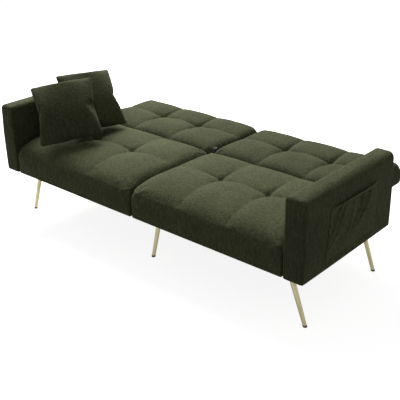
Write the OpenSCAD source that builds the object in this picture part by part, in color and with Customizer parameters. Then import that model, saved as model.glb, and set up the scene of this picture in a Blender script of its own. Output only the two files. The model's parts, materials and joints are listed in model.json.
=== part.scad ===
// Futon sofa bed: two upholstered seat halves and two backs that fold flat on click-clack
// hinges, between two padded arms. Millimetres, +Z up, the floor at Z = 0, the front at -Y.
// The pieces are placed from the front edge of the seat, and on_side() puts them in the frame.

/* [Overall] */
// Width across both side pockets
overall_w = 1900; // [1700:10:2200]
// Height of the seat surface above the floor
seat_top = 445; // [425:1:480]
// Height of the arm tops above the floor
arm_top = 606; // [540:1:720]
// Height of the underside of the base above the floor
base_z = 257; // [180:1:265]
// Depth of the seat halves, front to rear
seat_d = 555; // [480:5:650]
// Length of a back half, from the seat to its far edge while it lies flat
back_len = 407; // [340:1:480]

/* [Upholstery] */
// Thickness of the woven cover with its wadding
cover_t = 4; // [2:0.5:6]
// Thickness of the seat foam above the frame
seat_foam_t = 89; // [60:1:95]
// Thickness of a back half
back_t = 110; // [90:1:115]
// Height of the frame inside a back half
back_frame_h = 50; // [35:1:55]
// Radius of the long top edges of the seat and the backs
edge_r = 40; // [20:1:45]
// Radius of the lower edges of a back half
back_low_r = 22; // [8:1:30]
// Gap between the seat and a back half
fold_gap = 3; // [2:0.5:8]

/* [Arms] */
// Thickness of an arm
arm_w = 95; // [70:1:130]
// Depth of an arm, front to rear
arm_d = 668; // [620:1:760]
// Thickness of the padding around the arm core
arm_pad = 20; // [10:1:28]
// Radius of the arm's edges
arm_r = 22; // [8:1:30]
// Thickness of a side pocket
pocket_t = 5; // [2:0.5:8]
// Width of a side pocket along its mouth
pocket_w = 352; // [200:1:440]
// Height of a side pocket
pocket_h = 221; // [120:1:280]
// Distance of the pocket's mouth below the arm top
pocket_drop = 83; // [40:1:110]
// Lean of the pocket's front seam along its height
pocket_lean = 29; // [0:1:60]
// Distance of the pocket's rear seam from the rear of the arm
pocket_rear = 144; // [60:1:160]

/* [Frame] */
// Thickness of the seat rails
rail_t = 22; // [18:1:30]
// Thickness of the back rails
back_rail_t = 25; // [18:1:30]
// Height of the rear beam under the backs
beam_h = 63; // [40:1:66]
// Thickness of the dust cover under each seat half
dust_t = 2; // [1:0.5:3]
// Height of the leg blocks above the dust cover
block_h = 40; // [30:1:45]
// Bolt shank diameter
bolt_d = 8; // [6:1:10]
// Bolt head diameter
bolt_head_d = 16; // [13:1:18]
// Bolt head height
bolt_head_h = 2.5; // [2:0.5:3]

/* [Springs] */
// Wire diameter of the sinuous springs
wire_d = 3.5; // [3:0.5:4]
// Springs in each seat half
seat_springs = 5; // [3:1:7]
// Springs in each back half
back_springs = 4; // [3:1:6]
// Width of a spring
spring_w = 70; // [50:1:90]

/* [Hinges] */
// Plate thickness of the click-clack hinges
plate_t = 2.5; // [2:0.5:3]
// Side play between the two plates of a hinge
hinge_play = 0.25; // [0.2:0.05:0.5]
// Diameter of the hinge pins
pin_d = 10; // [8:1:12]
// Diameter of the hinge pin heads
pin_head_d = 16; // [14:1:20]
// Running clearance of a pin in its bore, on the radius
pin_play = 0.05; // [0.02:0.01:0.1]
// Width of the hinge arms
plate_w = 36; // [28:1:40]

/* [Legs] */
// Leg diameter under its plate
leg_top_d = 27; // [22:0.5:34]
// Leg diameter at the foot cap
leg_foot_d = 17.5; // [14:0.5:24]
// Height of the black foot caps
cap_h = 8; // [5:0.5:12]
// Wall of a foot cap around the leg
cap_wall = 0.6; // [0.4:0.1:1.5]
// Side of the square leg plates
leg_plate = 76; // [66:1:80]
// Thickness of the leg plates
leg_plate_t = 2.5; // [2:0.5:4]
// Offset of the leg screws from the plate's middle
screw_at = 26; // [22:0.5:28]
// Leg screw shank diameter
screw_d = 5; // [4:0.5:6]
// Leg screw length above the plate
screw_len = 25; // [16:1:32]
// Outward splay of the front corner legs, in degrees
front_splay = 19.9; // [5:0.1:22]
// Lean of the middle legs, in degrees
middle_splay = 16.4; // [5:0.1:22]
// Splay of the rear corner legs, in degrees
rear_splay = 15.8; // [5:0.1:22]
// Turn of that splay towards the rear, in degrees
rear_turn = 32; // [0:1:60]

/* [Pillows] */
// Side of a throw pillow
pillow_s = 310; // [280:5:400]
// Thickness of a throw pillow at its middle
pillow_t = 92; // [80:2:110]
// Half thickness of a throw pillow at its corners
pillow_corner = 6; // [4:1:10]

/* [Hidden] */
$fn = 64;
left = -1;
right = 1;
sides = [["left", left], ["right", right]];
eps = 1;                       // how far a cut runs past the face that it opens
hole_play = 0.1;               // radius play of bolts and screws in their holes

fabric = "#5b5f42";
foam_yellow = "#d9cc9a";
timber = "#b98f5c";
steel = "#8c8f92";
dark_steel = "#303133";
brass = "#c9bd86";
black = "#1b1b1c";

overall_d = seat_d + fold_gap + back_len;
front_y = -overall_d / 2;
arm_out = overall_w / 2 - pocket_t;
arm_in = arm_out - arm_w;

// Side to side: each hinge stands proud of the seat by a plate and a pin head
head_room = plate_t + bolt_head_h;
hinge_gap = 1;                 // free width left beside a hinge's heads
seat_out = arm_in - head_room - hinge_gap;
seat_in = head_room + hinge_gap / 2;
back_step = plate_t + hinge_play;
back_out = seat_out - back_step;
back_in = seat_in + back_step;

// Seat frame
rail_top = seat_top - cover_t - seat_foam_t;
rail_out = seat_out - cover_t;
rail_in = seat_in + cover_t;
rail_front = cover_t;
rail_rear = seat_d - cover_t;
rail_mid = (base_z + rail_top) / 2;

// Back halves, lying flat; the pivot is the centre of the rounded edge beside the seat
back_y = seat_d + fold_gap;
back_end = back_y + back_len;
back_z = seat_top - back_t;
pivot_y = back_y + edge_r;
pivot_z = seat_top - edge_r;
back_rail_z = back_z + cover_t;
back_rail_top = back_rail_z + back_frame_h;
back_rail_mid = (back_rail_z + back_rail_top) / 2;
back_rail_front = back_y + back_low_r;
back_rail_rear = back_end - back_low_r;

// Rear beam, bumpers and bolts
beam_y = seat_d;
beam_end = arm_d;
beam_top = base_z + beam_h;
bumper_d = 30;
bumper_gap = 0.3;
bumper_x = [back_in + 190, back_out - 190];
bumper_y = beam_end - bumper_d / 2 - 10;
bolt_grip = 25;                // how far a bolt runs into the timber that it ends in
arm_bolt_y = [120, seat_d - 225];
arm_bolt_z = rail_top - 28;
join_bolt_y = [140, seat_d - 165];
hinge_bolt_y = [seat_d - 112, seat_d - 52];
beam_bolt_y = (beam_y + beam_end) / 2;
beam_bolt_z = base_z + beam_h / 2;
notch_w = 34;
notch_in = arm_in - 50;
notch_l = 15;
spacer_d = 20;

// Hinge outlines
seat_plate_w = 50;
back_plate_w = 44;
seat_plate_y = [seat_d - 120, seat_d - 42];
back_plate_y = [pivot_y + 52, pivot_y + 168];
back_bolt_y = [back_plate_y[0] + 34, back_plate_y[1] - 8];

// Legs: place of each plate from the centre line and the front, splay and its direction
plate_inset = 3;               // a front plate lies this far in from the seat's side
corner_x = seat_out - leg_plate / 2 - plate_inset;
front_leg_y = 105;
front_middle_y = 204;
rear_corner_x = arm_in - screw_at - screw_d / 2 - 0.5;   // the outer screws stay in the beam
rear_leg_y = beam_end - 30;
rear_middle_y = beam_end - 58;
leg_spots = [
  ["front_left_leg", -corner_x, front_leg_y, front_splay, 180],
  ["front_middle_leg", 0, front_middle_y, middle_splay, -90],
  ["front_right_leg", corner_x, front_leg_y, front_splay, 0],
  ["rear_left_leg", -rear_corner_x, rear_leg_y, rear_splay, 180 - rear_turn],
  ["rear_middle_leg", 0, rear_middle_y, middle_splay, 90],
  ["rear_right_leg", rear_corner_x, rear_leg_y, rear_splay, rear_turn]
];
leg_top_z = base_z - leg_plate_t;
screw_head_d = 10;
screw_head_h = 2;
block_w = 70;
block_l = 90;

// Pillows: centre from the centre line, the front and the floor, then turn, lean and roll
front_pillow_at = [224 - arm_in, 174, seat_top + 142];
front_pillow_turn = [46, -38.5, -9.5];
rear_pillow_at = [178 - arm_in, seat_d - 176, seat_top + 142];
rear_pillow_turn = [81.5, -35, 3.5];

module on_side(s) translate([0, front_y, 0]) mirror([s < 0 ? 1 : 0, 0, 0]) children();

module block(x, y, z) translate([x[0], y[0], z[0]]) cube([x[1] - x[0], y[1] - y[0], z[1] - z[0]]);

// Rectangle from a to b whose corners have the radii r, from the low left one round by the low right
module rounded(a, b, r) {
  corners = [[a[0], a[1], 1, 1], [b[0], a[1], -1, 1], [b[0], b[1], -1, -1], [a[0], b[1], 1, -1]];
  outline = [for (i = [0:3]) let (c = corners[i], first = i % 2 == 0)
    each r[i] == 0 ? [[c[0], c[1]]]
      : first ? [[c[0], c[1] + c[3] * r[i]], [c[0] + c[2] * r[i], c[1]]]
      : [[c[0] + c[2] * r[i], c[1]], [c[0], c[1] + c[3] * r[i]]]];
  polygon(outline);
  for (i = [0:3]) let (c = corners[i])
    if (r[i] > 0) translate([c[0] + c[2] * r[i], c[1] + c[3] * r[i]]) circle(r[i]);
}

// Slab along X with rounded long edges, radii in the order front low, rear low, rear top, front top
module slab(x, y, z, r)
  translate([x[0], 0, 0]) rotate([90, 0, 90]) linear_extrude(x[1] - x[0])
    rounded([y[0], z[0]], [y[1], z[1]], r);

// Rod along X from x0 to x1
module rod(x0, x1, y, z, d)
  translate([min(x0, x1), y, z]) rotate([0, 90, 0]) cylinder(h = abs(x1 - x0), d = d);

// Bar with round ends in the Y-Z plane, from p to q
module bar(p, q, w) {
  l = norm(q - p);
  for (c = [p, q]) translate(c) circle(d = w);
  translate(p) rotate(atan2(q[1] - p[1], q[0] - p[0])) translate([0, -w / 2]) square([l, w]);
}

// Plate across X between x0 and x1, from an outline in the Y-Z plane
module plate(x0, x1)
  translate([min(x0, x1), 0, 0]) rotate([90, 0, 90]) linear_extrude(abs(x1 - x0)) children();

// Sinuous spring of n runs that ends at two rails, lying along Y
module spring(x, y0, y1, z, n) {
  pitch = (y1 - y0 - wire_d) / (n - 1);
  run = spring_w - pitch;
  lap = 0.2;                   // runs reach a little into the bends, so that a spring is one solid
  translate([x, y0, z]) linear_extrude(wire_d) {
    for (i = [0:n - 1]) translate([-run / 2 - lap, i * pitch]) square([run + 2 * lap, wire_d]);
    for (i = [0:n - 2]) let (d = i % 2 == 0 ? 1 : -1)
      translate([d * run / 2, (i + 0.5) * pitch + wire_d / 2]) intersection() {
        difference() {
          circle(d = pitch + wire_d);
          circle(d = pitch - wire_d);
        }
        translate([d > 0 ? 0 : -pitch, -pitch]) square([pitch, 2 * pitch]);
      }
  }
}

// Where the bolts of a seat half pass, grown by g on the radius
module seat_bolt_holes(g) {
  for (y = join_bolt_y) rod(seat_in - eps, rail_in + rail_t + eps, y, rail_mid, bolt_d + 2 * g);
  for (y = arm_bolt_y) rod(rail_out - rail_t - eps, seat_out + eps, y, arm_bolt_z, bolt_d + 2 * g);
  for (y = hinge_bolt_y) {
    rod(seat_in - eps, rail_in + rail_t + eps, y, rail_mid, bolt_d + 2 * g);
    rod(rail_out - rail_t - eps, seat_out + eps, y, rail_mid, bolt_d + 2 * g);
  }
}

module back_bolt_holes(g)
  for (y = back_bolt_y) {
    rod(back_in - eps, back_in + cover_t + back_rail_t + eps, y, back_rail_mid, bolt_d + 2 * g);
    rod(back_out - cover_t - back_rail_t - eps, back_out + eps, y, back_rail_mid, bolt_d + 2 * g);
  }

// Screw shanks of every leg, grown by g on the radius
module leg_screw_shanks(g)
  for (p = leg_spots, sx = [-1, 1], sy = [-1, 1])
    translate([p[1] + sx * screw_at, p[2] + sy * screw_at, leg_top_z])
      cylinder(h = leg_plate_t + screw_len, d = screw_d + 2 * g);

// Space inside a seat cover, down to z
module seat_cavity(z)
  slab([rail_in, rail_out], [rail_front, rail_rear], [z, seat_top - cover_t],
       [0, 0, edge_r - cover_t, edge_r - cover_t]);

module seat_cover() color(fabric) difference() {
  slab([seat_in, seat_out], [0, seat_d], [base_z, seat_top], [0, 0, edge_r, edge_r]);
  seat_cavity(base_z - eps);
  seat_bolt_holes(hole_play);
}

module seat_foam() color(foam_yellow) intersection() {
  seat_cavity(base_z);
  level(rail_top, seat_top);
}

module seat_springs() color(steel) {
  step = (rail_out - rail_in - 2 * rail_t) / seat_springs;
  for (i = [0:seat_springs - 1])
    spring(rail_in + rail_t + (i + 0.5) * step, rail_front + rail_t, rail_rear - rail_t,
           rail_top - wire_d, 12);
}

module dust_cover() color(black) difference() {
  block([rail_in + rail_t, rail_out - rail_t], [rail_front + rail_t, rail_rear - rail_t],
        [base_z, base_z + dust_t]);
  leg_screw_shanks(hole_play);
}

// One seat rail between x and y limits, drilled where bolts and leg screws pass
module seat_rail(x, y) color(timber) difference() {
  block(x, y, [base_z, rail_top]);
  seat_bolt_holes(hole_play);
  leg_screw_shanks(hole_play);
}

module seat_front_rail() seat_rail([rail_in, rail_out], [rail_front, rail_front + rail_t]);
module seat_rear_rail() seat_rail([rail_in, rail_out], [rail_rear - rail_t, rail_rear]);
module seat_outer_rail() seat_rail([rail_out - rail_t, rail_out], [rail_front + rail_t, rail_rear - rail_t]);
module seat_inner_rail() seat_rail([rail_in, rail_in + rail_t], [rail_front + rail_t, rail_rear - rail_t]);

module arm_core_box(z)
  block([arm_in + arm_pad, arm_out - arm_pad], [arm_pad, arm_d - arm_pad], [z, arm_top - arm_pad]);

module arm_core() color(timber) difference() {
  arm_core_box(base_z);
  arm_bolt_holes(hole_play);
}

// Where bolts run from the seat and the beam into an arm
module arm_bolt_holes(g) {
  deep = arm_in + arm_pad + bolt_grip;
  for (y = arm_bolt_y) rod(seat_out, deep, y, arm_bolt_z, bolt_d + 2 * g);
  rod(notch_in, deep, beam_bolt_y, beam_bolt_z, bolt_d + 2 * g);
}

module arm_cover() color(fabric) difference() {
  intersection() {
    translate([0, arm_d, 0]) rotate([90, 0, 0]) linear_extrude(arm_d)
      rounded([arm_in, base_z], [arm_out, arm_top], [0, 0, arm_r, arm_r]);
    translate([0, 0, base_z]) linear_extrude(arm_top - base_z)
      rounded([arm_in, 0], [arm_out, arm_d], [arm_r, arm_r, arm_r, arm_r]);
  }
  arm_core_box(base_z - eps);
  arm_bolt_holes(hole_play);
}

module arm_pocket() color(fabric) {
  mouth = arm_top - pocket_drop;
  rear = arm_d - pocket_rear;
  plate(arm_out, arm_out + pocket_t) polygon([
    [rear - pocket_w - pocket_lean, mouth - pocket_h], [rear, mouth - pocket_h],
    [rear, mouth], [rear - pocket_w, mouth]]);
}

module rear_beam() color(timber) difference() {
  block([-arm_in, arm_in], [beam_y, beam_end], [base_z, beam_top]);
  for (s = [left, right]) mirror([s < 0 ? 1 : 0, 0, 0]) {
    block([notch_in, notch_in + notch_l], [beam_bolt_y - notch_w / 2, beam_bolt_y + notch_w / 2],
          [beam_bolt_z - notch_w / 2, beam_top + eps]);
    arm_bolt_holes(hole_play);
  }
  leg_screw_shanks(hole_play);
}

module beam_bumpers() color(black)
  for (s = [left, right], x = bumper_x)
    translate([s * x, bumper_y, beam_top]) cylinder(h = back_z - bumper_gap - beam_top, d = bumper_d);

module leg_blocks() color(timber) difference() {
  for (s = [left, right]) mirror([s < 0 ? 1 : 0, 0, 0])
    block([rail_out - rail_t - block_w, rail_out - rail_t],
          [front_leg_y - block_l / 2, front_leg_y + block_l / 2],
          [base_z + dust_t, base_z + dust_t + block_h]);
  leg_screw_shanks(hole_play);
}

// Bolt along X whose head stands on x0 and whose shank runs to x1
module bolt(x0, x1, y, z) {
  rod(x0, x1, y, z, bolt_d);
  rod(x0, x0 + (x0 < x1 ? -bolt_head_h : bolt_head_h), y, z, bolt_head_d);
}

module spacer(x0, x1, y, z) difference() {
  rod(x0, x1, y, z, spacer_d);
  rod(x0 - eps, x1 + eps, y, z, bolt_d + 2 * hole_play);
}

module frame_bolts() color(steel) {
  deep = arm_in + arm_pad + bolt_grip;
  for (y = join_bolt_y) {
    bolt(rail_in + rail_t, -rail_in - rail_t, y, rail_mid);
    rod(-rail_in - rail_t, -rail_in - rail_t - bolt_head_h, y, rail_mid, bolt_head_d);
    spacer(-seat_in, seat_in, y, rail_mid);
  }
  for (s = [left, right]) mirror([s < 0 ? 1 : 0, 0, 0]) {
    for (y = arm_bolt_y) {
      bolt(rail_out - rail_t, deep, y, arm_bolt_z);
      spacer(seat_out, arm_in, y, arm_bolt_z);
    }
    bolt(notch_in + notch_l, deep, beam_bolt_y, beam_bolt_z);
    for (y = hinge_bolt_y) {
      bolt(seat_out + plate_t, rail_out - rail_t, y, rail_mid);
      bolt(seat_in - plate_t, rail_in + rail_t, y, rail_mid);
    }
  }
}

// The leg of one spot, as a tapered cylinder long enough to be cut level at both ends
module leg_cone(p, grow) {
  l = leg_top_z / cos(p[3]);
  slope = (leg_top_d - leg_foot_d) / l;
  run = leg_top_d;
  foot_d = leg_foot_d - slope * run + 2 * grow;
  head_d = leg_top_d + slope * run + 2 * grow;
  translate([p[1], p[2], leg_top_z]) rotate([0, 0, p[4]]) rotate([0, -p[3], 0])
    translate([0, 0, -l - run]) cylinder(h = l + 2 * run, d1 = foot_d, d2 = head_d);
}

module level(z0, z1) translate([-overall_w, -overall_d, z0]) cube([2 * overall_w, 3 * overall_d, z1 - z0]);

module leg(p) color(brass) intersection() {
  leg_cone(p, 0);
  level(cap_h, leg_top_z);
}

module foot_caps() color(black) for (p = leg_spots) intersection() {
  leg_cone(p, cap_wall);
  level(0, cap_h);
}

module leg_plates() color(steel) difference() {
  for (p = leg_spots) translate([p[1] - leg_plate / 2, p[2] - leg_plate / 2, leg_top_z])
    cube([leg_plate, leg_plate, leg_plate_t]);
  leg_screw_shanks(hole_play);
}

module leg_screws() color(steel) {
  leg_screw_shanks(0);
  for (p = leg_spots, sx = [-1, 1], sy = [-1, 1])
    translate([p[1] + sx * screw_at, p[2] + sy * screw_at, leg_top_z - screw_head_h])
      cylinder(h = screw_head_h, d = screw_head_d);
}

// Seat plate of a hinge on the seat's side at x, whose outward direction is d
module seat_hinge(x, d) color(dark_steel) difference() {
  plate(x, x + d * plate_t) {
    bar([seat_plate_y[0], rail_mid], [seat_plate_y[1], rail_mid], seat_plate_w);
    bar([seat_plate_y[1], rail_mid], [pivot_y, pivot_z], plate_w);
  }
  rod(x - eps * d, x + d * (plate_t + eps), pivot_y, pivot_z, pin_d + 2 * pin_play);
  for (y = hinge_bolt_y) rod(x - eps * d, x + d * (plate_t + eps), y, rail_mid, bolt_d + 2 * hole_play);
}

// Back plate of the same hinge, one play further in
module back_hinge(x, d) {
  face = x - d * hinge_play;
  color(dark_steel) difference() {
    plate(face - d * plate_t, face) {
      bar([back_plate_y[0], back_rail_mid], [back_plate_y[1], back_rail_mid], back_plate_w);
      bar([back_plate_y[0], back_rail_mid], [pivot_y, pivot_z], plate_w);
    }
    rod(face - d * (plate_t + eps), face + d * eps, pivot_y, pivot_z, pin_d + 2 * pin_play);
    for (y = back_bolt_y)
      rod(face - d * (plate_t + eps), face + d * eps, y, back_rail_mid, bolt_d + 2 * hole_play);
  }
  grip = plate_t + cover_t + back_rail_t;
  under_head = face + d * hole_play;  // a hair off the plate, so that bolts and plate stay separate
  color(steel) for (y = back_bolt_y) bolt(under_head, face - d * grip, y, back_rail_mid);
}

module hinge_pin(x, d) {
  tail = x - d * (plate_t + 2 * hinge_play);
  rod(x + d * plate_t, tail - d * (cover_t - 1), pivot_y, pivot_z, pin_d);
  rod(x + d * plate_t, x + d * (plate_t + bolt_head_h), pivot_y, pivot_z, pin_head_d);
  rod(tail, tail - d * (cover_t - 1), pivot_y, pivot_z, pin_head_d);
}

module hinge_pins() color(dark_steel) for (s = [left, right]) mirror([s < 0 ? 1 : 0, 0, 0]) {
  hinge_pin(seat_out, 1);
  hinge_pin(seat_in, -1);
}

module back_cavity()
  slab([back_in + cover_t, back_out - cover_t], [back_y + cover_t, back_end - cover_t],
       [back_rail_z, seat_top - cover_t],
       [back_low_r - cover_t, back_low_r - cover_t, edge_r - cover_t, edge_r - cover_t]);

module back_cover() color(fabric) difference() {
  slab([back_in, back_out], [back_y, back_end], [back_z, seat_top],
       [back_low_r, back_low_r, edge_r, edge_r]);
  back_cavity();
  rod(back_in - eps, back_out + eps, pivot_y, pivot_z, pin_head_d + 4);
  back_bolt_holes(hole_play);
}

module back_foam() color(foam_yellow) intersection() {
  back_cavity();
  level(back_rail_top, seat_top);
}

module back_springs() color(steel) {
  step = (back_out - back_in - 2 * cover_t - 2 * back_rail_t) / back_springs;
  for (i = [0:back_springs - 1])
    spring(back_in + cover_t + back_rail_t + (i + 0.5) * step, back_rail_front + back_rail_t,
           back_rail_rear - back_rail_t, back_rail_top - wire_d, 8);
}

module back_rail(x, y) color(timber) difference() {
  block(x, y, [back_rail_z, back_rail_top]);
  back_bolt_holes(hole_play);
}

back_rail_x = [back_in + cover_t, back_out - cover_t];
back_rail_gap = [back_rail_front + back_rail_t, back_rail_rear - back_rail_t];
module back_front_rail() back_rail(back_rail_x, [back_rail_front, back_rail_gap[0]]);
module back_rear_rail() back_rail(back_rail_x, [back_rail_gap[1], back_rail_rear]);
module back_outer_rail() back_rail([back_rail_x[1] - back_rail_t, back_rail_x[1]], back_rail_gap);
module back_inner_rail() back_rail([back_rail_x[0], back_rail_x[0] + back_rail_t], back_rail_gap);

// Pillow standing on its edge at the origin, its faces two equal domes that thin out to the corners
module pillow() color(fabric) {
  reach = pillow_s / sqrt(2) - 12;
  sag = pillow_t / 2 - pillow_corner;
  dome = (reach * reach + sag * sag) / (2 * sag);
  intersection() {
    translate([0, pillow_t / 2, 0]) rotate([90, 0, 0]) linear_extrude(pillow_t)
      rounded([-pillow_s / 2, -pillow_s / 2], [pillow_s / 2, pillow_s / 2], [24, 24, 24, 24]);
    translate([0, dome - pillow_t / 2, 0]) sphere(dome, $fn = 240);
    translate([0, pillow_t / 2 - dome, 0]) sphere(dome, $fn = 240);
  }
}

module posed_pillow(at, turn)
  translate(at) rotate([0, 0, turn[0]]) rotate([turn[1], 0, 0]) rotate([0, turn[2], 0]) pillow();

for (p = sides) {
  on_side(p[1]) seat_cover();
  on_side(p[1]) seat_foam();
  on_side(p[1]) seat_springs();
  on_side(p[1]) dust_cover();
  on_side(p[1]) seat_front_rail();
  on_side(p[1]) seat_rear_rail();
  on_side(p[1]) seat_outer_rail();
  on_side(p[1]) seat_inner_rail();
  on_side(p[1]) arm_core();
  on_side(p[1]) arm_cover();
  on_side(p[1]) arm_pocket();
  on_side(p[1]) seat_hinge(seat_out, 1);
  on_side(p[1]) seat_hinge(seat_in, -1);
  on_side(p[1]) back_hinge(seat_out, 1);
  on_side(p[1]) back_hinge(seat_in, -1);
  on_side(p[1]) back_cover();
  on_side(p[1]) back_foam();
  on_side(p[1]) back_springs();
  on_side(p[1]) back_front_rail();
  on_side(p[1]) back_rear_rail();
  on_side(p[1]) back_outer_rail();
  on_side(p[1]) back_inner_rail();
}
for (p = leg_spots)
  on_side(right) leg(p);
on_side(right) rear_beam();
on_side(right) beam_bumpers();
on_side(right) leg_blocks();
on_side(right) frame_bolts();
on_side(right) foot_caps();
on_side(right) leg_plates();
on_side(right) leg_screws();
on_side(right) hinge_pins();
on_side(right) posed_pillow(front_pillow_at, front_pillow_turn);  // front_pillow
on_side(right) posed_pillow(rear_pillow_at, rear_pillow_turn);  // rear_pillow
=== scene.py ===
import json
from math import cos, pi, radians, sin

import bpy
import numpy as np
from mathutils import Euler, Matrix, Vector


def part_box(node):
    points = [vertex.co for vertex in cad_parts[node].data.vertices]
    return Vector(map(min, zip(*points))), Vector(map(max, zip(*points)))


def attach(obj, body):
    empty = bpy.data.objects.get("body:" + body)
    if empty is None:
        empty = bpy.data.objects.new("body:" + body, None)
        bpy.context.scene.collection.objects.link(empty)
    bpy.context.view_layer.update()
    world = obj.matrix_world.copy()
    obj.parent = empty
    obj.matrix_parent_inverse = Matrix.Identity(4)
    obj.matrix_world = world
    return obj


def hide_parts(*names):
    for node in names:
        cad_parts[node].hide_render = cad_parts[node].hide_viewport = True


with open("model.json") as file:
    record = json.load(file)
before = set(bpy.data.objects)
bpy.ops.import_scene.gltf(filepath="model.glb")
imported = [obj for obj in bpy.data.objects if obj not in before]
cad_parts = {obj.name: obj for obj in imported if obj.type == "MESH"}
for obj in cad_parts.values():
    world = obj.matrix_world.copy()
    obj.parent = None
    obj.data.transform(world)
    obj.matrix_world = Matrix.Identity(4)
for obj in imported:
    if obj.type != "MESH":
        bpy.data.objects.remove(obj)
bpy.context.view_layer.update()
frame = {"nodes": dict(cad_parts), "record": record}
nodes = frame["nodes"]
print("frame loaded:", len(nodes), "nodes")


def smooth(t):  # 3t^2 - 2t^3 between 0 and 1
    t = np.clip(t, 0, 1)
    return t * t * (3 - 2 * t)


def easedLine(stops, step, pull=0.45):
    # points from the first stop to the last, closer together beside every stop: t - pull sin(2 pi t) / (2 pi)
    parts = []
    for a, b in zip(stops[:-1], stops[1:]):
        t = np.linspace(0, 1, max(3, round((b - a) / step)) + 1)
        parts.append(a + (b - a) * (t - pull * np.sin(2 * pi * t) / (2 * pi)))
    return np.concatenate([parts[0]] + [p[1:] for p in parts[1:]])


def latticeSkin(n):
    # the six faces of a lattice box as quads of whole-number corners, wound outwards, doubles merged
    faces = []
    for axis in range(3):
        a, b = (axis + 1) % 3, (axis + 2) % 3
        u, v = np.meshgrid(np.arange(n[a]), np.arange(n[b]), indexing="ij")
        for end in (0, 1):
            ring = ((0, 0), (1, 0), (1, 1), (0, 1)) if end else ((0, 1), (1, 1), (1, 0), (0, 0))
            corner = np.zeros(u.shape + (4, 3), int)
            for c, (du, dv) in enumerate(ring):
                corner[..., c, axis] = end * n[axis]
                corner[..., c, a] = u + du
                corner[..., c, b] = v + dv
            faces.append(corner.reshape(-1, 4, 3))
    points, index = np.unique(np.concatenate(faces).reshape(-1, 3), axis=0, return_inverse=True)
    return points, index.reshape(-1, 4)


def roundedSkin(xs, ys, zs, radius):
    # q on the box, core = q moved in by r (a radius for each axis), d = (q - core) / r, p = core + r d / |d|
    ijk, quads = latticeSkin((len(xs) - 1, len(ys) - 1, len(zs) - 1))
    q = np.stack([xs[ijk[:, 0]], ys[ijk[:, 1]], zs[ijk[:, 2]]], axis=1)
    r = radius(q)
    core = np.clip(q, q.min(0) + r, q.max(0) - r)
    out = (q - core) / r
    return core + r * out / np.linalg.norm(out, axis=1, keepdims=True), quads, ijk


def blendRadius(low, high, share):
    return np.array(low) + (np.array(high) - np.array(low)) * np.asarray(share)[:, None]


def meshPiece(name, points, quads, material, smoothShade=True):
    mesh = bpy.data.meshes.new(name)
    mesh.from_pydata(points.tolist(), [], quads.tolist())
    mesh.polygons.foreach_set("use_smooth", np.full(len(quads), smoothShade))
    mesh.materials.append(material)
    piece = bpy.data.objects.new(name, mesh)
    bpy.context.scene.collection.objects.link(piece)
    return piece


def pointsOf(mesh):
    flat = np.empty(len(mesh.vertices) * 3)
    mesh.vertices.foreach_get("co", flat)
    return flat.reshape(-1, 3)


def setPoints(piece, points):
    piece.data.vertices.foreach_set("co", points.ravel())
    piece.data.update()


filling = {
    "levels": 10,                     # steps of the weight that holds the cloth
    "quality": 4, "mass": 0.3,
    "shearPart": 3,                   # the stretch stiffness divided by this resists shear
}


def puffUp(piece, held, pressure, reach, frames=20, stiffness=15.0, bending=0.5):
    # cloth under pressure, held where the weight is 1; a point moves no further than reach
    start = pointsOf(piece.data)
    group = piece.vertex_groups.new(name="held")
    level = np.round(np.clip(held, 0, 1) * filling["levels"]).astype(int)
    for step in range(1, filling["levels"] + 1):
        chosen = np.flatnonzero(level == step)
        if len(chosen):
            group.add(chosen.tolist(), step / filling["levels"], "REPLACE")
    cloth = piece.modifiers.new("cloth", "CLOTH")
    cloth.settings.quality = filling["quality"]
    cloth.settings.mass = filling["mass"]
    cloth.settings.tension_stiffness = stiffness
    cloth.settings.compression_stiffness = stiffness
    cloth.settings.shear_stiffness = stiffness / filling["shearPart"]
    cloth.settings.bending_stiffness = bending
    cloth.settings.use_pressure = True
    cloth.settings.uniform_pressure_force = pressure
    cloth.settings.effector_weights.gravity = 0
    cloth.settings.vertex_group_mass = "held"
    cloth.collision_settings.use_collision = False
    cloth.point_cache.frame_end = frames
    for f in range(1, frames + 1):
        bpy.context.scene.frame_set(f)
    shaped = piece.evaluated_get(bpy.context.evaluated_depsgraph_get())
    moved = pointsOf(shaped.data) - start
    piece.modifiers.remove(cloth)
    piece.vertex_groups.remove(group)
    bpy.context.scene.frame_set(1)
    length = np.linalg.norm(moved, axis=1, keepdims=True) + 1e-9    # the last term keeps it above 0
    setPoints(piece, start + moved * reach * np.tanh(length / reach) / length)


def softFinish(piece, body, fill, *replaced, slot="fabric"):
    sub = piece.modifiers.new("smooth", "SUBSURF")
    sub.levels = sub.render_levels = 1
    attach(piece, body)
    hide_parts(*replaced)


def newMaterial(name):
    material = bpy.data.materials.new(name)
    material.use_nodes = True
    tree = material.node_tree
    coords = tree.nodes.new("ShaderNodeTexCoord").outputs["Object"]
    return material, tree, coords, tree.nodes["Principled BSDF"]


def noiseOn(tree, coords, scale, stretch=(1, 1, 1), detail=3.0, rough=0.55):
    mapping = tree.nodes.new("ShaderNodeMapping")
    mapping.inputs["Scale"].default_value = stretch
    noise = tree.nodes.new("ShaderNodeTexNoise")
    noise.inputs["Scale"].default_value = scale
    noise.inputs["Detail"].default_value = detail
    noise.inputs["Roughness"].default_value = rough
    tree.links.new(coords, mapping.inputs["Vector"])
    tree.links.new(mapping.outputs["Vector"], noise.inputs["Vector"])
    return noise.outputs["Fac"]


def mathOn(tree, kind, a, b):
    node = tree.nodes.new("ShaderNodeMath")
    node.operation = kind
    for socket, value in zip(node.inputs, (a, b)):
        if isinstance(value, (int, float)):
            socket.default_value = value
        else:
            tree.links.new(value, socket)
    return node.outputs[0]


def sumOn(tree, values, shares):
    # every value times its share, added up
    total = mathOn(tree, "MULTIPLY", values[0], shares[0])
    for value, share in zip(values[1:], shares[1:]):
        total = mathOn(tree, "ADD", total, mathOn(tree, "MULTIPLY", value, share))
    return total


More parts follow.
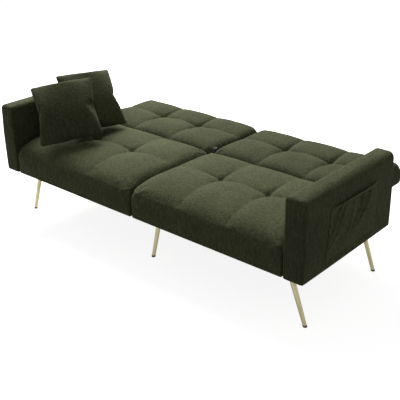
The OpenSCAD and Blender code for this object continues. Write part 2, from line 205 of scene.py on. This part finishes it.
def rampOn(tree, fac, places, colours, socket):
    ramp = tree.nodes.new("ShaderNodeValToRGB")
    first, last = ramp.color_ramp.elements
    stops = list(zip(places, colours))
    for element, (place, colour) in zip((first, last), (stops[0], stops[-1])):
        element.position = place
        element.color = (*colour, 1)
    for place, colour in stops[1:-1]:
        ramp.color_ramp.elements.new(place).color = (*colour, 1)
    tree.links.new(fac, ramp.inputs["Fac"])
    tree.links.new(ramp.outputs["Color"], socket)


def bumpOn(tree, height, strength, distance, shader):
    bump = tree.nodes.new("ShaderNodeBump")
    bump.inputs["Strength"].default_value = strength
    bump.inputs["Distance"].default_value = distance
    tree.links.new(height, bump.inputs["Height"])
    tree.links.new(bump.outputs["Normal"], shader.inputs["Normal"])


chenille = {
    "deep": (0.046, 0.050, 0.0235),   # between the tufts of yarn
    "body": (0.082, 0.090, 0.0435),
    "lit": (0.128, 0.139, 0.069),     # on the tips of the pile
    "places": (0.38, 0.5, 0.62),      # where the three colours lie on the mixed grain
    "tuftSize": 260,                  # yarn loops for each metre, a few millimetres each
    "ribSize": 117, "ribStretch": (1, 1, 0.22),
    "clumpSize": 95, "clumpStretch": (1, 1, 0.6),
    "patchSize": 7,
    "shares": (0.2, 0.3, 0.3, 0.2),   # of loops, ribs, clumps and patches in the colour
    "heights": (1.0, 1.4, 1.2),       # of loops, ribs and clumps in the relief
    "bump": 0.55, "relief": 0.003,
    "rough": 0.92, "specular": 0.15,
    "sheen": (0.60, 0.66, 0.36), "sheenWeight": 0.12, "sheenRough": 0.45,
}


def chenilleCloth(name, ribStretch=chenille["ribStretch"], shade=1.0):
    # short pile in fine broken ribs: loops, ribs along one way, and brushed patches; shade darkens or lightens
    # all its colours, a painted shade or painted light on the piece that the copy covers
    material, tree, coords, shader = newMaterial(name)
    loops = noiseOn(tree, coords, chenille["tuftSize"], detail=2.0)
    ribs = noiseOn(tree, coords, chenille["ribSize"], ribStretch, 2.0)
    clumps = noiseOn(tree, coords, chenille["clumpSize"], chenille["clumpStretch"], 3.0, 0.6)
    patches = noiseOn(tree, coords, chenille["patchSize"], detail=4.0, rough=0.6)
    mixed = sumOn(tree, (loops, ribs, clumps, patches), chenille["shares"])
    colours = [tuple(shade * c for c in chenille[key]) for key in ("deep", "body", "lit")]
    rampOn(tree, mixed, chenille["places"], colours, shader.inputs["Base Color"])
    height = sumOn(tree, (loops, ribs, clumps), chenille["heights"])
    bumpOn(tree, height, chenille["bump"], chenille["relief"], shader)
    shader.inputs["Roughness"].default_value = chenille["rough"]
    shader.inputs["Specular IOR Level"].default_value = chenille["specular"]
    shader.inputs["Sheen Weight"].default_value = chenille["sheenWeight"]
    shader.inputs["Sheen Roughness"].default_value = chenille["sheenRough"]
    shader.inputs["Sheen Tint"].default_value = (*chenille["sheen"], 1)
    return material


plated = {
    "streakSize": 240, "cloudSize": 18, "shares": (0.5, 0.5), "places": (0.3, 0.62),
    "roughSpread": 0.16,              # how much the grain changes the roughness
    "bump": 0.04, "relief": 0.0003,
}


def metal(name, colour, rough, grain, dark):
    # drawn or plated metal: faint grain in colour and roughness
    material, tree, coords, shader = newMaterial(name)
    streaks = noiseOn(tree, coords, plated["streakSize"], grain)
    cloud = noiseOn(tree, coords, plated["cloudSize"])
    mixed = sumOn(tree, (streaks, cloud), plated["shares"])
    rampOn(tree, mixed, plated["places"], (dark, colour), shader.inputs["Base Color"])
    spread = plated["roughSpread"]
    uneven = mathOn(tree, "ADD", mathOn(tree, "MULTIPLY", mixed, spread), rough - spread / 2)
    tree.links.new(uneven, shader.inputs["Roughness"])
    bumpOn(tree, streaks, plated["bump"], plated["relief"], shader)
    shader.inputs["Metallic"].default_value = 1.0
    return material


planed = {
    "grainSize": 26, "grainStretch": (1, 6, 6), "fineSize": 190, "fineStretch": (0.3, 3, 3),
    "shares": (0.75, 0.25), "places": (0.32, 0.5, 0.66),
    "colours": ((0.28, 0.15, 0.06), (0.46, 0.28, 0.13), (0.60, 0.40, 0.21)),
    "bump": 0.2, "relief": 0.001, "rough": 0.62,
}


def planedTimber(name):
    material, tree, coords, shader = newMaterial(name)
    grain = noiseOn(tree, coords, planed["grainSize"], planed["grainStretch"], 5.0, 0.6)
    fine = noiseOn(tree, coords, planed["fineSize"], planed["fineStretch"])
    mixed = sumOn(tree, (grain, fine), planed["shares"])
    rampOn(tree, mixed, planed["places"], planed["colours"], shader.inputs["Base Color"])
    bumpOn(tree, mixed, planed["bump"], planed["relief"], shader)
    shader.inputs["Roughness"].default_value = planed["rough"]
    return material


def speckled(name, dark, light, size, rough, bump, relief):
    # fine grain of two shades, for foam, rubber, moulded plastic and felted cloth
    material, tree, coords, shader = newMaterial(name)
    grain = noiseOn(tree, coords, size, detail=4.0, rough=0.6)
    rampOn(tree, grain, (0.35, 0.65), (dark, light), shader.inputs["Base Color"])
    bumpOn(tree, grain, bump, relief, shader)
    shader.inputs["Roughness"].default_value = rough
    return material


upholstery = chenilleCloth("chenille")
# painted shade: the backs' cloth is the same chenille with all its colours darkened to 0.78
shadedBackCloth = chenilleCloth("chenille_back_painted_shade", shade=0.78)
# painted shade: the arms' cloth is the same chenille with all its colours darkened to 0.86, its ribs drawn out
# further
shadedArmCloth = chenilleCloth("chenille_arm_painted_shade", (1, 1, 0.12), 0.86)
# painted shade: the pillows' cloth is the same chenille with all its colours darkened to 0.84
shadedPillowCloth = chenilleCloth("chenille_pillow_painted_shade", (1, 1, 0.3), 0.84)
# painted light: the pocket's cloth is the same chenille with all its colours lightened to 1.15, so that its folds
# look lit
lightenedPocketCloth = chenilleCloth("chenille_pocket_painted_light", (1, 0.5, 1), 1.15)
evenGrain = (1, 1, 1)
legGrain = (6, 6, 0.4)    # drawn out along the leg
finishes = {
    "fabric": upholstery,
    "pocket_fabric": lightenedPocketCloth,
    "pillow_fabric": shadedPillowCloth,
    "foam": speckled("foam", (0.50, 0.42, 0.24), (0.74, 0.66, 0.42), 420, 0.95, 0.6, 0.001),
    "dust_cloth": speckled("dust_cloth", (0.008, 0.008, 0.008), (0.022, 0.022, 0.023), 700, 0.85, 0.3, 0.0006),
    "timber": planedTimber("planed_timber"),
    "zinc_steel": metal("zinc_steel", (0.62, 0.63, 0.64), 0.34, evenGrain, (0.38, 0.39, 0.40)),
    "hinge_steel": metal("black_steel", (0.060, 0.060, 0.062), 0.5, evenGrain, (0.030, 0.030, 0.031)),
    "spring_steel": metal("spring_steel", (0.34, 0.34, 0.35), 0.4, evenGrain, (0.16, 0.16, 0.17)),
    "leg_metal": metal("pale_gold", (0.39, 0.355, 0.22), 0.2, legGrain, (0.30, 0.265, 0.15)),
    "foot_cap": speckled("foot_cap", (0.006, 0.006, 0.006), (0.016, 0.016, 0.016), 900, 0.5, 0.15, 0.0003),
    "bumper": speckled("bumper_rubber", (0.008, 0.008, 0.008), (0.02, 0.02, 0.02), 600, 0.7, 0.2, 0.0004),
}
slotOf = {s["node"]: s["material_slot"] for s in frame["record"]["subparts"]}
for name, part in nodes.items():
    part.data.materials.clear()
    part.data.materials.append(finishes[slotOf[name]])
nodes["rear_beam"].data.materials[0] = upholstery  # the beam is wrapped in the same cloth
print("materials made")


quilting = {
    "tuftAlong": (0.341, 0.659),      # where the pull-ins are across a half, as shares of its width
    "width": 0.013,                   # half width of a crease
    "softWidth": 0.060,               # half width of the hollow round it
    "softShare": 0.6,                 # how much of the pulled depth the hollow takes as well
    "reach": 0.085,                   # how far a pull-in deepens its creases
    "creasePower": 1.4, "pinchPower": 1.5,
    "fewestRows": 8,
    "frontReach": 0.25,               # how far back the radii of the front are felt
    "topReach": 0.07,                 # how far below the top the quilting is felt
    "fadeAcross": 6, "fadeAlong": 5, "fadeLeft": 0.25,    # how quickly creases fade at the edges, and what is left
}
seatPad = {
    "step": 0.0095, "tuftAcross": 0.53,
    "lowEdge": (0.006, 0.006, 0.0015), "edge": (0.036, 0.036, 0.036), "frontRoll": (0.036, 0.050, 0.050),
    "railTop": 0.353, "railFade": 0.035,
    "fallFront": 0.046, "fallRear": 0.020, "fallInner": 0.020, "fallOuter": 0.016, "fallPower": 3.0,
    "crease": 0.003, "pulled": 0.010, "hollow": 0.004, "pull": 0.012, "pinch": 0.018,
    "firmDip": 0.022,                 # a dip this deep holds the cloth fast
    "freeDepth": 0.05, "freeFrom": 0.04,    # the front face is free this deep, and from this far above its foot
    "pressure": 4.0, "reach": 0.012, "fill": 0.75,
    "gapShare": 0.6,                  # how much of its half of the middle gap the cloth may fill
    "outerRoom": 0.005, "frontRoom": 0.010, "rearRoom": 0.001, "lowRoom": 0.0005,
    "rim": 0.028, "rimDepth": 0.0026,
}
backPad = {
    "step": 0.0090, "tuftAcross": 0.57,
    "lowEdge": (0.005, 0.022, 0.022), "edge": (0.045, 0.034, 0.034), "frontRoll": (0.040, 0.036, 0.036),
    "railTop": 0.390, "railFade": 0.035,
    "fallFront": 0.018, "fallRear": 0.005, "fallInner": 0.016, "fallOuter": 0.004, "fallPower": 3.0,
    "crease": 0.006, "pulled": 0.013, "hollow": 0.006, "pull": 0.010, "pinch": 0.020,
    "firmDip": 0.024,
    "freeDepth": 0.05, "freeShare": 0.8,    # the rear face is free this deep, by this much
    "pressure": 4.0, "reach": 0.012, "fill": 0.75,
    "innerRoom": 0.0045, "outerRoom": 0.004, "frontRoom": 0.001, "rearRoom": 0.010, "lowRoom": 0.002,
    "hingeRoom": 0.001, "hingeBelow": 0.01,
}


def quiltDepth(x, y, tuftX, tuftY, size):
    # depth of a crease = (crease + pulled e^-(along/reach)^2) e^-(across/width)^1.4, plus its soft hollow;
    # creases combine as a cube root of cubes, and each tuft adds pull e^-(distance/pinch)^1.5
    def crease(across, along):
        near = size["pulled"] * np.exp(-(along / quilting["reach"]) ** 2)
        sharp = np.exp(-(across / quilting["width"]) ** quilting["creasePower"])
        soft = np.exp(-(across / quilting["softWidth"]) ** 2)
        return (size["crease"] + near) * sharp + (size["hollow"] + quilting["softShare"] * near) * soft
    fromTufts = [np.abs(x - t) for t in tuftX]
    lines = [crease(np.abs(y - tuftY), np.minimum(*fromTufts))]
    lines += [crease(d, np.abs(y - tuftY)) for d in fromTufts]
    total = sum(line ** 3 for line in lines) ** (1 / 3)
    for d in fromTufts:
        total = total + size["pull"] * np.exp(-(np.hypot(d, y - tuftY) / size["pinch"]) ** quilting["pinchPower"])
    return total


def rightSideBox(node):
    # the node's box, as its mirror image on the right (+X) side, and -1 where it was mirrored
    lo, hi = (np.array(c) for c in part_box(node))
    flip = -1 if hi[0] < 0 else 1
    if flip < 0:
        lo[0], hi[0] = -hi[0], -lo[0]
    return lo, hi, flip


def sidePiece(name, points, quads, flip, material):
    if flip < 0:
        points = points * np.array([-1, 1, 1])
        quads = quads[:, ::-1]
    return meshPiece(name, points, quads, material)


def quiltedHalf(coverNode, size):
    lo, hi, flip = rightSideBox(coverNode)
    width, depth, top = hi[0] - lo[0], hi[1] - lo[1], hi[2]
    tuftX = [lo[0] + width * s for s in quilting["tuftAlong"]]
    tuftY = lo[1] + depth * size["tuftAcross"]
    xs = easedLine([lo[0], *tuftX, hi[0]], size["step"])
    ys = easedLine([lo[1], tuftY, hi[1]], size["step"])
    zs = np.linspace(lo[2], hi[2], max(quilting["fewestRows"], round((hi[2] - lo[2]) / size["step"])) + 1)

    def radius(q):  # the low edge's radii below the rail's top, above it the edge's, blended to the front roll's
        front = smooth(1 - (q[:, 1] - lo[1]) / quilting["frontReach"])
        up = smooth((q[:, 2] - size["railTop"]) / size["railFade"])
        above = blendRadius(size["edge"], size["frontRoll"], front)
        return np.array(size["lowEdge"]) * (1 - up[:, None]) + above * up[:, None]
    points, quads, ijk = roundedSkin(xs, ys, zs, radius)
    topness = smooth((points[:, 2] - top + quilting["topReach"]) / quilting["topReach"])
    u = (points[:, 0] - lo[0]) / width * 2 - 1
    v = (points[:, 1] - lo[1]) / depth * 2 - 1
    # the top falls to its edges, by front (-v)^p or rear v^p and by inner or outer |u|^(p + 2),
    # joined as sqrt(a^2 + b^2)
    power = size["fallPower"]
    along = size["fallFront"] * np.clip(-v, 0, 1) ** power + size["fallRear"] * np.clip(v, 0, 1) ** power
    across = np.where(u < 0, size["fallInner"], size["fallOuter"]) * np.abs(u) ** (power + 2)
    dip = quiltDepth(points[:, 0], points[:, 1], tuftX, tuftY, size)
    edgeFade = smooth((1 - np.abs(u)) * quilting["fadeAcross"] + quilting["fadeLeft"])
    edgeFade = edgeFade * smooth((1 - np.abs(v)) * quilting["fadeAlong"] + quilting["fadeLeft"])
    points[:, 2] -= topness * (np.hypot(along, across) + dip * edgeFade)
    return points, quads, ijk, topness, dip, flip, lo, hi


def makeSeat(side):
    points, quads, ijk, topness, dip, flip, lo, hi = quiltedHalf(side + "_seat_cover", seatPad)
    pad = sidePiece(side + "_seat_pad", points, quads, flip, upholstery)
    # the cloth is held below the top, but for the front face, and in the deep creases
    front = smooth(1 - (points[:, 1] - lo[1]) / seatPad["freeDepth"])
    front = front * smooth((points[:, 2] - lo[2]) / seatPad["freeFrom"])
    creased = np.clip(dip / seatPad["firmDip"], 0, 1) * topness
    puffUp(pad, np.maximum(creased, 1 - np.maximum(topness, front)), seatPad["pressure"], seatPad["reach"])
    shaped = pointsOf(pad.data) * np.array([flip, 1, 1])
    gap = lo[0] * seatPad["gapShare"]
    shaped[:, 0] = np.clip(shaped[:, 0], lo[0] - gap, hi[0] + seatPad["outerRoom"])
    shaped[:, 1] = np.clip(shaped[:, 1], lo[1] - seatPad["frontRoom"], hi[1] + seatPad["rearRoom"])
    under = ijk[:, 2] == 0
    inside = under & (np.abs(shaped[:, 0] - (lo[0] + hi[0]) / 2) < (hi[0] - lo[0]) / 2 - seatPad["rim"])
    inside &= np.abs(shaped[:, 1] - (lo[1] + hi[1]) / 2) < (hi[1] - lo[1]) / 2 - seatPad["rim"]
    shaped[:, 2] = np.where(inside, lo[2] + seatPad["rimDepth"], shaped[:, 2])  # the dust cover shows inside the rim
    shaped[:, 2] = np.where(under & ~inside, lo[2] - seatPad["lowRoom"], shaped[:, 2])
    setPoints(pad, shaped * np.array([flip, 1, 1]))
    softFinish(pad, "base", seatPad["fill"], side + "_seat_cover", side + "_seat_foam")


def makeBack(side):
    points, quads, ijk, topness, dip, flip, lo, hi = quiltedHalf(side + "_back_cover", backPad)
    pad = sidePiece(side + "_back_pad", points, quads, flip, shadedBackCloth)
    # the cloth is held below the top, but for most of the rear face, and in the deep creases
    rear = smooth(1 - (hi[1] - points[:, 1]) / backPad["freeDepth"])
    creased = np.clip(dip / backPad["firmDip"], 0, 1) * topness
    held = np.maximum(creased, 1 - np.maximum(topness, rear * backPad["freeShare"]))
    puffUp(pad, held, backPad["pressure"], backPad["reach"])
    shaped = pointsOf(pad.data) * np.array([flip, 1, 1])
    shaped[:, 0] = np.clip(shaped[:, 0], lo[0] - backPad["innerRoom"], hi[0] + backPad["outerRoom"])
    shaped[:, 1] = np.clip(shaped[:, 1], lo[1] - backPad["frontRoom"], hi[1] + backPad["rearRoom"])
    shaped[:, 2] = np.maximum(shaped[:, 2], lo[2] - backPad["lowRoom"])
    # the front edge stays within a circle round the hinge, so that it clears the seat on its way up
    hinge = np.array(frame["record"]["behaviour"]["joints"][0]["pos_m"][1:])
    arm = shaped[:, 1:] - hinge
    far = np.linalg.norm(arm, axis=1)
    edge = hinge[0] - lo[1] + backPad["hingeRoom"]
    past = (arm[:, 0] < 0) & (arm[:, 1] > -backPad["hingeBelow"]) & (far > edge)
    shaped[past, 1:] = hinge + arm[past] * (edge / far[past])[:, None]
    setPoints(pad, shaped * np.array([flip, 1, 1]))
    softFinish(pad, side + "_back", backPad["fill"], side + "_back_cover", side + "_back_foam")


for side in ("left", "right"):
    makeSeat(side)
    makeBack(side)
    print(side, "seat and back made")


armPad = {
    "step": 0.0080, "eased": 0.3,
    "lowEdge": (0.009, 0.008, 0.003), "innerEdge": (0.016, 0.013, 0.016), "outerEdge": (0.028, 0.016, 0.026),
    "upSlope": 2.2,                   # how quickly the low edge's radii give way to the upper ones
    "bulge": 0.004, "outerFlat": 0.5, "endFlat": 0.4,
    "rise": {"left": 0.016, "right": 0.0}, "riseFront": 0.4,    # one top stands fuller, less so in front
    "topReach": 0.06, "topFree": 0.9,       # the cloth is free this far down from the top, by this much
    "pressure": 3.0, "reach": 0.004, "fill": 0.8,
    "seatRoom": 0.02, "lowRoom": 0.0005,
}


def makeArm(side):
    lo, hi, flip = rightSideBox(side + "_arm_cover")
    xs, ys, zs = (easedLine([lo[k], hi[k]], armPad["step"], armPad["eased"]) for k in range(3))

    def radius(q):  # the low edge's radii in the lower half, above it the inner edge's, blended to the outer one's
        up = smooth(((q[:, 2] - lo[2]) / (hi[2] - lo[2]) - 0.5) * armPad["upSlope"])
        out = smooth((q[:, 0] - lo[0]) / (hi[0] - lo[0]))
        above = blendRadius(armPad["innerEdge"], armPad["outerEdge"], out)
        return np.array(armPad["lowEdge"]) * (1 - up[:, None]) + above * up[:, None]
    points, quads, ijk = roundedSkin(xs, ys, zs, radius)
    v = (points[:, 1] - lo[1]) / (hi[1] - lo[1]) * 2 - 1
    w = (points[:, 2] - lo[2]) / (hi[2] - lo[2]) * 2 - 1
    out = (points[:, 0] - lo[0]) / (hi[0] - lo[0])
    # the padding stands proud: outside by bulge (1 - flat v^4)(1 - flat w^4), at the ends by bulge (1 - flat x^2)
    flat = armPad["outerFlat"]
    points[:, 0] += armPad["bulge"] * (1 - flat * v ** 4) * (1 - flat * w ** 4) * out
    points[:, 1] += armPad["bulge"] * v * (1 - armPad["endFlat"] * (2 * out - 1) ** 2)
    behind = armPad["riseFront"] + (1 - armPad["riseFront"]) * (v + 1) / 2
    points[:, 2] += armPad["rise"][side] * smooth(w) * behind
    arm = sidePiece(side + "_arm_pad", points, quads, flip, shadedArmCloth)
    topness = smooth((points[:, 2] - hi[2] + armPad["topReach"]) / armPad["topReach"])
    puffUp(arm, 1 - armPad["topFree"] * topness, armPad["pressure"], armPad["reach"])
    shaped = pointsOf(arm.data) * np.array([flip, 1, 1])
    besideSeat = shaped[:, 2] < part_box("left_seat_cover")[1].z + armPad["seatRoom"]
    shaped[:, 0] = np.where(besideSeat, np.maximum(shaped[:, 0], lo[0]), shaped[:, 0])
    shaped[:, 2] = np.maximum(shaped[:, 2], lo[2] - armPad["lowRoom"])
    setPoints(arm, shaped * np.array([flip, 1, 1]))
    softFinish(arm, "base", armPad["fill"], side + "_arm_cover")
    outer = np.flatnonzero(ijk[:, 0] == len(xs) - 1)
    order = np.lexsort((ijk[outer, 2], ijk[outer, 1]))
    wall = shaped[outer[order]].reshape(len(ys), len(zs), 3)
    return flip, wall


def wallAt(wall, y, z):
    # the arm's outer face between the four lattice points round (y, z)
    rows, columns = wall[:, wall.shape[1] // 2, 1], wall[wall.shape[0] // 2, :, 2]
    j = np.clip(np.searchsorted(rows, y) - 1, 0, len(rows) - 2)
    k = np.clip(np.searchsorted(columns, z) - 1, 0, len(columns) - 2)
    s = np.clip((y - rows[j]) / (rows[j + 1] - rows[j]), 0, 1)
    t = np.clip((z - columns[k]) / (columns[k + 1] - columns[k]), 0, 1)
    near = wall[j, k, 0] * (1 - s) + wall[j + 1, k, 0] * s
    far = wall[j, k + 1, 0] * (1 - s) + wall[j + 1, k + 1, 0] * s
    return near * (1 - t) + far * t


pocket = {
    "rows": 90, "columns": 120, "thick": 0.0016, "stand": 0.0022,
    "lean": 0.029,                            # the front seam's mouth end lies this far back of its foot
    "sideSeam": 0.05, "lowSeam": 0.10,        # how wide the flat strip beside a seam is, as a share
    "folds": (0.20, 0.34, 0.50, 0.67, 0.83),  # where each fold leaves the mouth, as a share of its width
    "foldLean": 0.36, "foldBend": 1.4,        # how far a fold runs towards the front on its way down
    "leanVary": (0.8, 0.35, 2.1), "sway": (0.02, 5),
    "foldWidth": 0.026, "spread": (0.6, 0.8),
    "foldHeight": 0.0095, "heightVary": (0.75, 0.25, 1.7), "peak": (0.28, 0.07, 0.42),
    "mouthFrom": 0.9, "mouthLift": 0.010, "mouthFlat": 0.7,
    "gather": 1.02, "seamLoss": 0.015, "areaGather": 1.03,
}


def makePocket(side, flip, wall):
    lo, hi = (np.array(c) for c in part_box(side + "_arm_pocket"))
    a, b = np.meshgrid(np.linspace(0, 1, pocket["columns"]), np.linspace(0, 1, pocket["rows"]), indexing="ij")
    # a runs from the front seam to the rear one, b from the bottom seam to the mouth
    z = lo[2] + (hi[2] - lo[2]) * b
    y = (lo[1] + pocket["lean"] * b) * (1 - a) + hi[1] * a
    down = 1 - b
    sewn = smooth(a / pocket["sideSeam"]) * smooth((1 - a) / pocket["sideSeam"]) * smooth(b / pocket["lowSeam"])
    folds = np.zeros_like(a)
    for i, start in enumerate(pocket["folds"]):
        # fold i lies along start - lean down^bend (base + change sin(turn i)) - sway sin(turn down + i), is
        # width (base + more down) wide, and stands (base + change cos(turn i)) e^-((down - peak) / span)^2 high
        base, change, turn = pocket["leanVary"]
        path = start - pocket["foldLean"] * down ** pocket["foldBend"] * (base + change * sin(i * turn))
        sway, turn = pocket["sway"]
        path = path - sway * np.sin(down * turn + i)
        base, more = pocket["spread"]
        width = pocket["foldWidth"] * (base + more * down)
        base, change, turn = pocket["heightVary"]
        peak, shift, span = pocket["peak"]
        height = (base + change * cos(i * turn)) * np.exp(-((down - peak - shift * (i % 3)) / span) ** 2)
        folds += height * np.exp(-((a - path) / width) ** 2)
    mouth = smooth((b - pocket["mouthFrom"]) / (1 - pocket["mouthFrom"]))
    lift = pocket["mouthLift"] * mouth * np.sin(pi * a) ** 0.5
    rise = pocket["foldHeight"] * folds * (1 - pocket["mouthFlat"] * mouth) + lift
    x = wallAt(wall, y, z) + pocket["stand"] + sewn * rise
    points = np.stack([flip * x, y, z], axis=-1).reshape(-1, 3)
    index = np.arange(a.size).reshape(a.shape)
    quads = np.stack([index[:-1, :-1], index[1:, :-1], index[1:, 1:], index[:-1, 1:]], axis=-1).reshape(-1, 4)
    if flip < 0:
        quads = quads[:, ::-1]
    panel = meshPiece(side + "_pocket_panel", points, quads, lightenedPocketCloth)
    cloth = panel.modifiers.new("cloth", "SOLIDIFY")
    cloth.thickness = pocket["thick"]
    cloth.offset = -1
    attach(panel, "base")
    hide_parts(side + "_arm_pocket")


for side in ("left", "right"):
    flip, wall = makeArm(side)
    makePocket(side, flip, wall)
    print(side, "arm and pocket made")


pillow = {
    "side": 0.310, "cells": 54, "slack": 1.04, "rim": 0.06,
    "start": 0.026, "barrel": 0.06, "taller": 1.045, "raised": 0.006,
    "cornerFrom": 0.97, "cornerHeld": 0.3,
    "pressure": 3.0, "stiffness": 30.0, "bending": 0.3, "frames": 24, "reach": 0.045, "fill": 0.7,
    "front_pillow": (46, -38.5, -9.5), "rear_pillow": (81.5, -35, 3.5),   # turn, lean and roll in degrees
}


def makePillow(node):
    lo, hi = (np.array(c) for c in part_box(node))
    half = pillow["side"] / 2 * pillow["slack"]
    line = np.linspace(-1, 1, pillow["cells"] + 1)
    points, quads, ijk = roundedSkin(line, line, np.array([-1, 0, 1]), lambda q: np.full(q.shape, pillow["rim"]))
    u, v = points[:, 0], points[:, 1]
    panel = np.sign(ijk[:, 2] - 1.0)
    # two panels sewn at the rim, a shallow dome apart: start (1 - u^4)(1 - v^4); their sides are cut
    # a little round, 1 + barrel (1 - across^2), so that the filled pillow comes out square
    dome = pillow["start"] * (1 - u ** 4) * (1 - v ** 4)
    wide = half * (1 + pillow["barrel"] * (1 - v ** 2) * np.abs(u))
    tall = half * (1 + pillow["barrel"] * (1 - u ** 2) * np.abs(v))
    flat = np.stack([u * wide, panel * dome, v * tall * pillow["taller"] + pillow["raised"]], axis=1)
    cushion = meshPiece(node + "_cushion", flat, quads[:, ::-1], shadedPillowCloth)
    corner = (np.abs(u) > pillow["cornerFrom"]) & (np.abs(v) > pillow["cornerFrom"])
    puffUp(cushion, corner * pillow["cornerHeld"], pillow["pressure"], pillow["reach"],
           pillow["frames"], pillow["stiffness"], pillow["bending"])
    turn, lean, roll = (radians(t) for t in pillow[node])
    spin = Euler((0, 0, turn)).to_matrix() @ Euler((lean, 0, 0)).to_matrix() @ Euler((0, roll, 0)).to_matrix()
    setPoints(cushion, pointsOf(cushion.data) @ np.array(spin).T + (lo + hi) / 2)
    softFinish(cushion, node, pillow["fill"], node, slot="pillow_fabric")


for node in ("front_pillow", "rear_pillow"):
    makePillow(node)
    print(node, "made")


view = {
    "place": (2.26125, -2.479, 1.7081), "turn": 40.191, "down": 23.547, "roll": 0.494,
    "lens": 65.616, "sensor": 36, "shift": (-0.0610, -0.0342),
}


def makeCamera():
    camera = bpy.data.objects.new("camera", bpy.data.cameras.new("camera"))
    camera.location = view["place"]
    camera.rotation_euler = (radians(90 - view["down"]), radians(view["roll"]), radians(view["turn"]))
    camera.data.lens = view["lens"]
    camera.data.sensor_width = view["sensor"]
    camera.data.shift_x, camera.data.shift_y = view["shift"]
    bpy.context.scene.collection.objects.link(camera)
    bpy.context.scene.camera = camera


def seenMix(tree, seen, unseen, output):
    # one shader for what the camera and mirror-like surfaces see, another for the light it gives
    path = tree.nodes.new("ShaderNodeLightPath")
    fac = mathOn(tree, "MAXIMUM", path.outputs["Is Camera Ray"], path.outputs["Is Glossy Ray"])
    fac = mathOn(tree, "MAXIMUM", fac, path.outputs["Is Transmission Ray"])
    mix = tree.nodes.new("ShaderNodeMixShader")
    tree.links.new(fac, mix.inputs[0])
    tree.links.new(unseen, mix.inputs[1])
    tree.links.new(seen, mix.inputs[2])
    tree.links.new(mix.outputs[0], output)


studio = {
    "floorReach": 60, "pale": (0.9, 0.9, 0.9, 1), "dull": (0.22, 0.22, 0.22, 1),
    "glow": 0.85,                     # the floor is white up to the object's shadow
    "white": (1, 1, 1, 1), "dim": (0.19, 0.19, 0.19, 1),
    "lampPlace": (-3.2, 2.0, 4.2), "lampAim": (0.25, 0.1, 0.4), "lampSize": (3.6, 3.0), "lampPower": 400,
}


def makeFloor():
    far = studio["floorReach"]
    corners = np.array([[-far, -far, 0], [far, -far, 0], [far, far, 0], [-far, far, 0]], float)
    material = bpy.data.materials.new("floor")
    material.use_nodes = True
    tree = material.node_tree
    tree.nodes.remove(tree.nodes["Principled BSDF"])
    pale, dull = tree.nodes.new("ShaderNodeBsdfDiffuse"), tree.nodes.new("ShaderNodeBsdfDiffuse")
    glow, seen = tree.nodes.new("ShaderNodeEmission"), tree.nodes.new("ShaderNodeAddShader")
    pale.inputs["Color"].default_value = studio["pale"]
    dull.inputs["Color"].default_value = studio["dull"]
    glow.inputs["Strength"].default_value = studio["glow"]
    tree.links.new(glow.outputs[0], seen.inputs[0])
    tree.links.new(pale.outputs[0], seen.inputs[1])
    seenMix(tree, seen.outputs[0], dull.outputs[0], tree.nodes["Material Output"].inputs["Surface"])
    meshPiece("floor", corners, np.array([[0, 1, 2, 3]]), material, False)


def makeLight():
    world = bpy.data.worlds.new("studio")
    bpy.context.scene.world = world
    world.use_nodes = True
    tree = world.node_tree
    tree.nodes.remove(tree.nodes["Background"])
    white, dim = tree.nodes.new("ShaderNodeBackground"), tree.nodes.new("ShaderNodeBackground")
    white.inputs["Color"].default_value = studio["white"]
    dim.inputs["Color"].default_value = studio["dim"]
    seenMix(tree, white.outputs[0], dim.outputs[0], tree.nodes["World Output"].inputs["Surface"])
    lamp = bpy.data.lights.new("key_softbox", "AREA")
    lamp.shape = "RECTANGLE"
    lamp.size, lamp.size_y = studio["lampSize"]
    lamp.energy = studio["lampPower"]
    holder = bpy.data.objects.new("key_softbox", lamp)
    holder.location = studio["lampPlace"]
    dx, dy, dz = np.array(studio["lampAim"]) - np.array(studio["lampPlace"])
    holder.rotation_euler = (np.arctan2(np.hypot(dx, dy), -dz), 0, np.arctan2(-dx, dy))
    bpy.context.scene.collection.objects.link(holder)


makeCamera()
makeFloor()
makeLight()
bpy.context.scene.view_settings.view_transform = "Standard"
print("camera, floor and light set")
